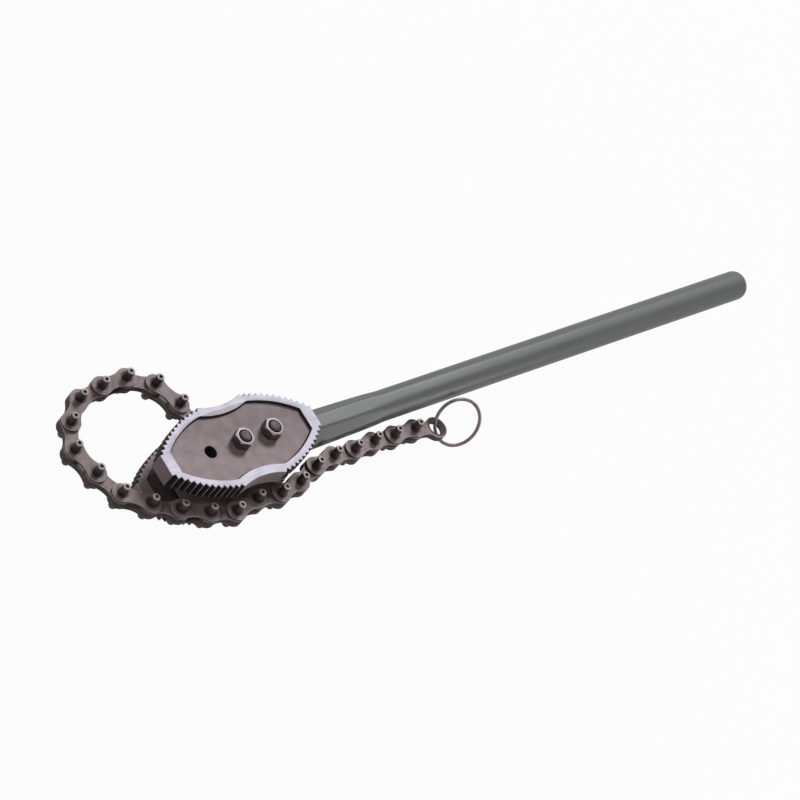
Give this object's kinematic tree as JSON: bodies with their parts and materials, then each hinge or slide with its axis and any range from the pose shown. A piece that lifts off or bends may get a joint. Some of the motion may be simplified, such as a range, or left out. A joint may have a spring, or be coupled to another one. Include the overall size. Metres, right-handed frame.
{
  "type": "chain pipe wrench",
  "caption": "Double-jaw chain pipe wrench with a round bar handle, toothed reversible jaws and a link chain with protruding pins and a tail ring.",
  "frame": {"origin": "axis of the free jaw hole, midway between the two jaws", "axes": "+X along the handle towards its free end, +Z square to the jaws and out of the nuts' side"},
  "size_m": [0.7805, 0.1589, 0.0725],
  "materials": {
    "handle_paint": "satin grey enamel on a forged bar",
    "jaw_steel": "forged steel, bright ground rim round a dull brownish pocket",
    "bolt_steel": "dull browned steel with bright turned rims",
    "chain_steel": "dull browned steel plate",
    "pin_steel": "turned steel with dimpled ends",
    "ring_steel": "bright drawn wire"
  },
  "bodies": {
    "frame_body": {"handle": "handle_paint", "upper_jaw": "jaw_steel", "lower_jaw": "jaw_steel", "centre_bolt": "bolt_steel", "rear_bolt": "bolt_steel", "centre_nut": "bolt_steel", "rear_nut": "bolt_steel"},
    "anchor_link": {"anchor_plates": "chain_steel", "anchor_bush": "pin_steel", "anchor_pin": "pin_steel"},
    "link_02": {"link_02_plates": "chain_steel", "link_02_bushes": "pin_steel"},
    "link_03": {"link_03_plates": "chain_steel", "link_03_pins": "pin_steel"},
    "link_04": {"link_04_plates": "chain_steel", "link_04_bushes": "pin_steel"},
    "link_05": {"link_05_plates": "chain_steel", "link_05_pins": "pin_steel"},
    "link_06": {"link_06_plates": "chain_steel", "link_06_bushes": "pin_steel"},
    "link_07": {"link_07_plates": "chain_steel", "link_07_pins": "pin_steel"},
    "link_08": {"link_08_plates": "chain_steel", "link_08_bushes": "pin_steel"},
    "link_09": {"link_09_plates": "chain_steel", "link_09_pins": "pin_steel"},
    "link_10": {"link_10_plates": "chain_steel", "link_10_bushes": "pin_steel"},
    "link_11": {"link_11_plates": "chain_steel", "link_11_pins": "pin_steel"},
    "link_12": {"link_12_plates": "chain_steel", "link_12_bushes": "pin_steel"},
    "link_13": {"link_13_plates": "chain_steel", "link_13_pins": "pin_steel"},
    "link_14": {"link_14_plates": "chain_steel", "link_14_bushes": "pin_steel"},
    "link_15": {"link_15_plates": "chain_steel", "link_15_pins": "pin_steel"},
    "link_16": {"link_16_plates": "chain_steel", "link_16_bushes": "pin_steel"},
    "link_17": {"link_17_plates": "chain_steel", "link_17_pins": "pin_steel"},
    "link_18": {"link_18_plates": "chain_steel", "link_18_bushes": "pin_steel"},
    "link_19": {"link_19_plates": "chain_steel", "link_19_pins": "pin_steel"},
    "link_20": {"link_20_plates": "chain_steel", "link_20_bushes": "pin_steel"},
    "link_21": {"link_21_plates": "chain_steel", "link_21_pins": "pin_steel"},
    "link_22": {"link_22_plates": "chain_steel", "link_22_bushes": "pin_steel"},
    "link_23": {"link_23_plates": "chain_steel", "link_23_pins": "pin_steel"},
    "link_24": {"link_24_plates": "chain_steel", "link_24_bushes": "pin_steel"},
    "ring": {"tail_ring": "ring_steel"}
  },
  "joints": [
    {"name": "anchor_pivot", "type": "hinge", "parent": "frame_body", "child": "anchor_link", "pos_m": [0.0325, 0, 0], "axis": [0, 0, 1], "range_deg": [-5, 0]},
    {"name": "pivot_02", "type": "hinge", "parent": "anchor_link", "child": "link_02", "pos_m": [0.02396, 0.03188, 0], "axis": [0, 0, 1], "range_deg": [-10, 0]},
    {"name": "pivot_03", "type": "hinge", "parent": "link_02", "child": "link_03", "pos_m": [0.01723, 0.05699, 0], "axis": [0, 0, 1], "range_deg": [-18, 0]},
    {"name": "pivot_04", "type": "hinge", "parent": "link_03", "child": "link_04", "pos_m": [0.00624, 0.08055, 0], "axis": [0, 0, 1], "range_deg": [-43, 0]},
    {"name": "pivot_05", "type": "hinge", "parent": "link_04", "child": "link_05", "pos_m": [-0.01627, 0.09355, -0.00039], "axis": [-0.0349, 0, 0.9994], "range_deg": [-38, 0]},
    {"name": "pivot_06", "type": "hinge", "parent": "link_05", "child": "link_06", "pos_m": [-0.04226, 0.09355, -0.0013], "axis": [-0.0349, 0, 0.9994], "range_deg": [-18, 0]},
    {"name": "pivot_07", "type": "hinge", "parent": "link_06", "child": "link_07", "pos_m": [-0.06785, 0.08904, -0.00219], "axis": [-0.0349, 0, 0.9994], "range_deg": [-38, 0]},
    {"name": "pivot_08", "type": "hinge", "parent": "link_07", "child": "link_08", "pos_m": [-0.08775, 0.07233, -0.00289], "axis": [-0.0349, 0, 0.9994], "range_deg": [-33, 0]},
    {"name": "pivot_09", "type": "hinge", "parent": "link_08", "child": "link_09", "pos_m": [-0.09873, 0.04876, -0.00327], "axis": [-0.0523, 0, 0.9986], "range_deg": [-48, 0]},
    {"name": "pivot_10", "type": "hinge", "parent": "link_09", "child": "link_10", "pos_m": [-0.09201, 0.02365, -0.00292], "axis": [-0.0523, 0, 0.9986], "range_deg": [-18, 0]},
    {"name": "pivot_11", "type": "hinge", "parent": "link_10", "child": "link_11", "pos_m": [-0.08104, 0.00008, -0.00235], "axis": [-0.0349, 0, 0.9994], "range_deg": [-33, 0]},
    {"name": "pivot_12", "type": "hinge", "parent": "link_11", "child": "link_12", "pos_m": [-0.06113, -0.01663, -0.00165], "axis": [-0.0349, 0, 0.9994], "range_deg": [-18, 0]},
    {"name": "pivot_13", "type": "hinge", "parent": "link_12", "child": "link_13", "pos_m": [-0.03862, -0.02963, -0.00126], "axis": [-0.0175, 0, 0.9998], "range_deg": [-16, 0]},
    {"name": "pivot_14", "type": "hinge", "parent": "link_13", "child": "link_14", "pos_m": [-0.01506, -0.04062, -0.00085], "axis": [-0.0175, 0, 0.9998], "range_deg": [-18, 0]},
    {"name": "pivot_15", "type": "hinge", "parent": "link_14", "child": "link_15", "pos_m": [0.01005, -0.04735, -0.00085], "axis": [0.0175, 0, 0.9998], "range_deg": [-33, 0]},
    {"name": "pivot_16", "type": "hinge", "parent": "link_15", "child": "link_16", "pos_m": [0.03566, -0.04283, -0.00129], "axis": [0.0175, 0, 0.9998], "range_deg": [-25, 0]},
    {"name": "pivot_17", "type": "hinge", "parent": "link_16", "child": "link_17", "pos_m": [0.06154, -0.0451, -0.0022], "axis": [0.0523, 0, 0.9986], "range_deg": [-25, 0]},
    {"name": "pivot_18", "type": "hinge", "parent": "link_17", "child": "link_18", "pos_m": [0.08711, -0.04058, -0.00354], "axis": [0.0523, 0, 0.9986], "range_deg": [-25, 0]},
    {"name": "pivot_19", "type": "hinge", "parent": "link_18", "child": "link_19", "pos_m": [0.11148, -0.03169, -0.00524], "axis": [0.0872, 0, 0.9962], "range_deg": [-25, 0]},
    {"name": "pivot_20", "type": "hinge", "parent": "link_19", "child": "link_20", "pos_m": [0.13699, -0.02717, -0.00747], "axis": [0.0872, 0, 0.9962], "range_deg": [-25, 0]},
    {"name": "pivot_21", "type": "hinge", "parent": "link_20", "child": "link_21", "pos_m": [0.16285, -0.02717, -0.01019], "axis": [0.1045, 0, 0.9945], "range_deg": [-25, 0]},
    {"name": "pivot_22", "type": "hinge", "parent": "link_21", "child": "link_22", "pos_m": [0.18861, -0.02491, -0.0129], "axis": [0.1045, 0, 0.9945], "range_deg": [-25, 0]},
    {"name": "pivot_23", "type": "hinge", "parent": "link_22", "child": "link_23", "pos_m": [0.21451, -0.02491, -0.01516], "axis": [0.0698, 0, 0.9976], "range_deg": [-25, 0]},
    {"name": "pivot_24", "type": "hinge", "parent": "link_23", "child": "link_24", "pos_m": [0.24045, -0.02491, -0.01698], "axis": [0.0698, 0, 0.9976], "range_deg": [-25, 0]},
    {"name": "ring_swivel", "type": "hinge", "parent": "link_24", "child": "ring", "pos_m": [0.26602, -0.02942, -0.01832], "axis": [0.0523, 0, 0.9986], "range_deg": [-60, 0]}
  ]
}
